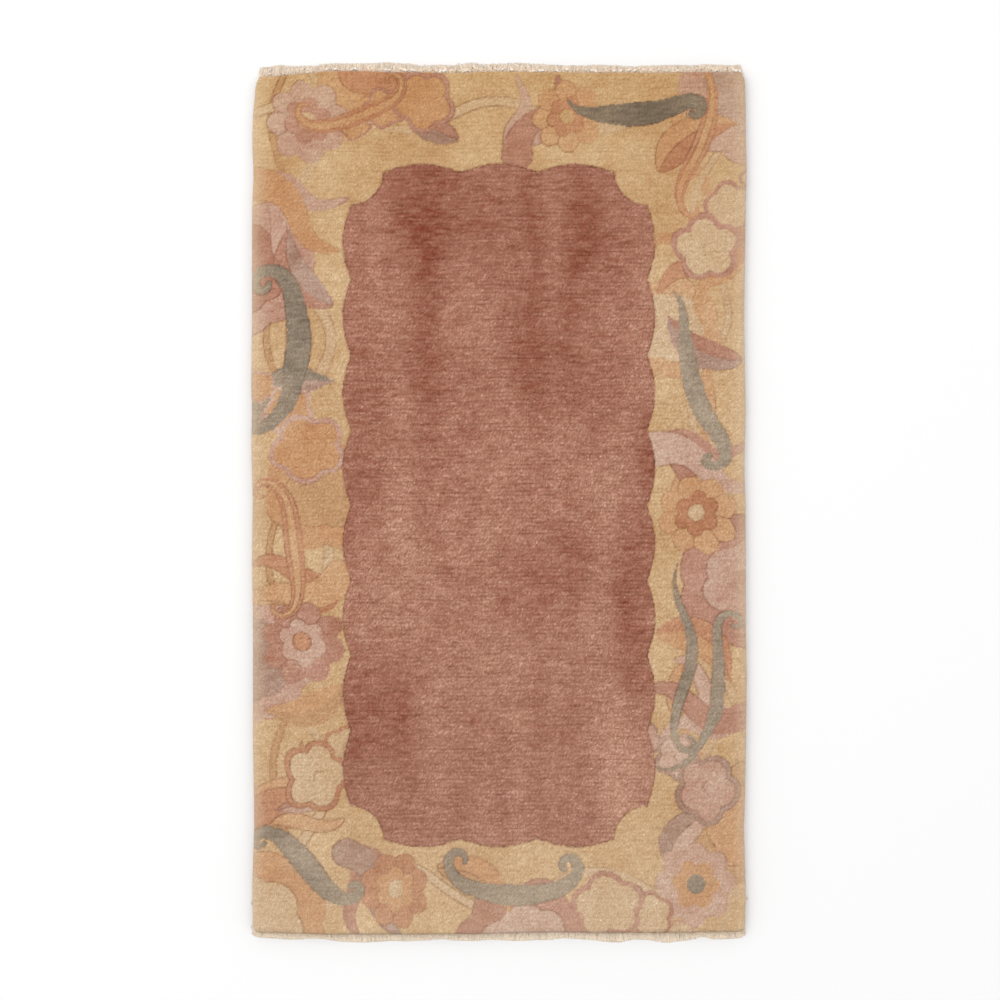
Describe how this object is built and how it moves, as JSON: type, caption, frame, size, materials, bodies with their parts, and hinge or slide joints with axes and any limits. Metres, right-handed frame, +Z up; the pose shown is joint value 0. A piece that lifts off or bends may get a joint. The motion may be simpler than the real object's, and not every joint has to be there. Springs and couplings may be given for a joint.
{
  "type": "tibetan rug",
  "caption": "Small hand-knotted wool pile rug lying flat, plain scalloped field in a carved motif border, overcast sides, knotted fringe at the head and cut fringe at the foot.",
  "frame": {"origin": "on the floor under the middle of the whole rug, fringes included", "axes": "+Z up out of the pile, Y along the length with the knotted head fringe at +Y, X across the width"},
  "size_m": [0.611, 1.0816, 0.0144],
  "materials": {
    "pile": "cut wool pile, mauve field and gold, peach, terracotta, rose and slate border, carved",
    "overcast": "wool yarn wrapped round the side warps, matt",
    "warp": "undyed cotton warp ends, knotted or brushed, matt"
  },
  "bodies": {
    "root": {"rug_body": "pile", "side_cord_left": "overcast", "side_cord_right": "overcast", "head_fringe": "warp", "foot_fringe": "warp"}
  },
  "joints": []
}
